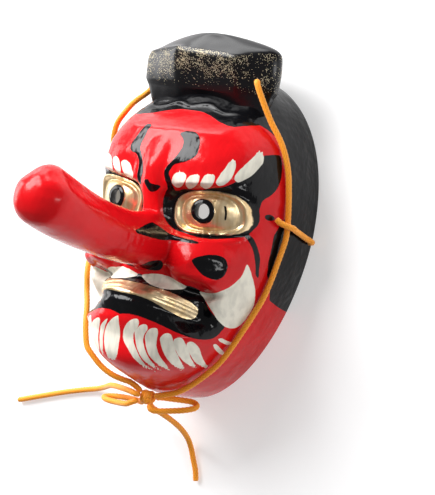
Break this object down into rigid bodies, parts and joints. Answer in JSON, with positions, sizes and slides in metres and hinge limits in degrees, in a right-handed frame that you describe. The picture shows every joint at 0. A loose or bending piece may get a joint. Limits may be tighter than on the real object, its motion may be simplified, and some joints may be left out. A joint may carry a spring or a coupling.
{
  "type": "tengu mask",
  "caption": "Hollow lacquered tengu mask with a long upturned nose, a small faceted cap, see-through pupils and a tie cord knotted in a bow under the chin.",
  "frame": {"origin": "middle of the box of the mask with its tied cord, without the bow's loops and loose ends, on the plane that the rim lies on", "axes": "+Z out of the face along the wearer's line of sight, +Y from the chin to the crown, +X to the wearer's left"},
  "size_m": [0.2222, 0.2888, 0.1995],
  "materials": {
    "lacquer": "gloss lacquer, red with black, cream and gold paint",
    "cord": "round orange braid"
  },
  "bodies": {
    "root": {"mask_shell": "lacquer", "bow_knot": "cord", "tie_cord_left": "cord", "tie_cord_right": "cord", "side_loop_left": "cord", "side_loop_right": "cord", "bow_loop_left": "cord", "bow_loop_right": "cord", "cord_tail_left": "cord", "cord_tail_right": "cord"}
  },
  "joints": []
}
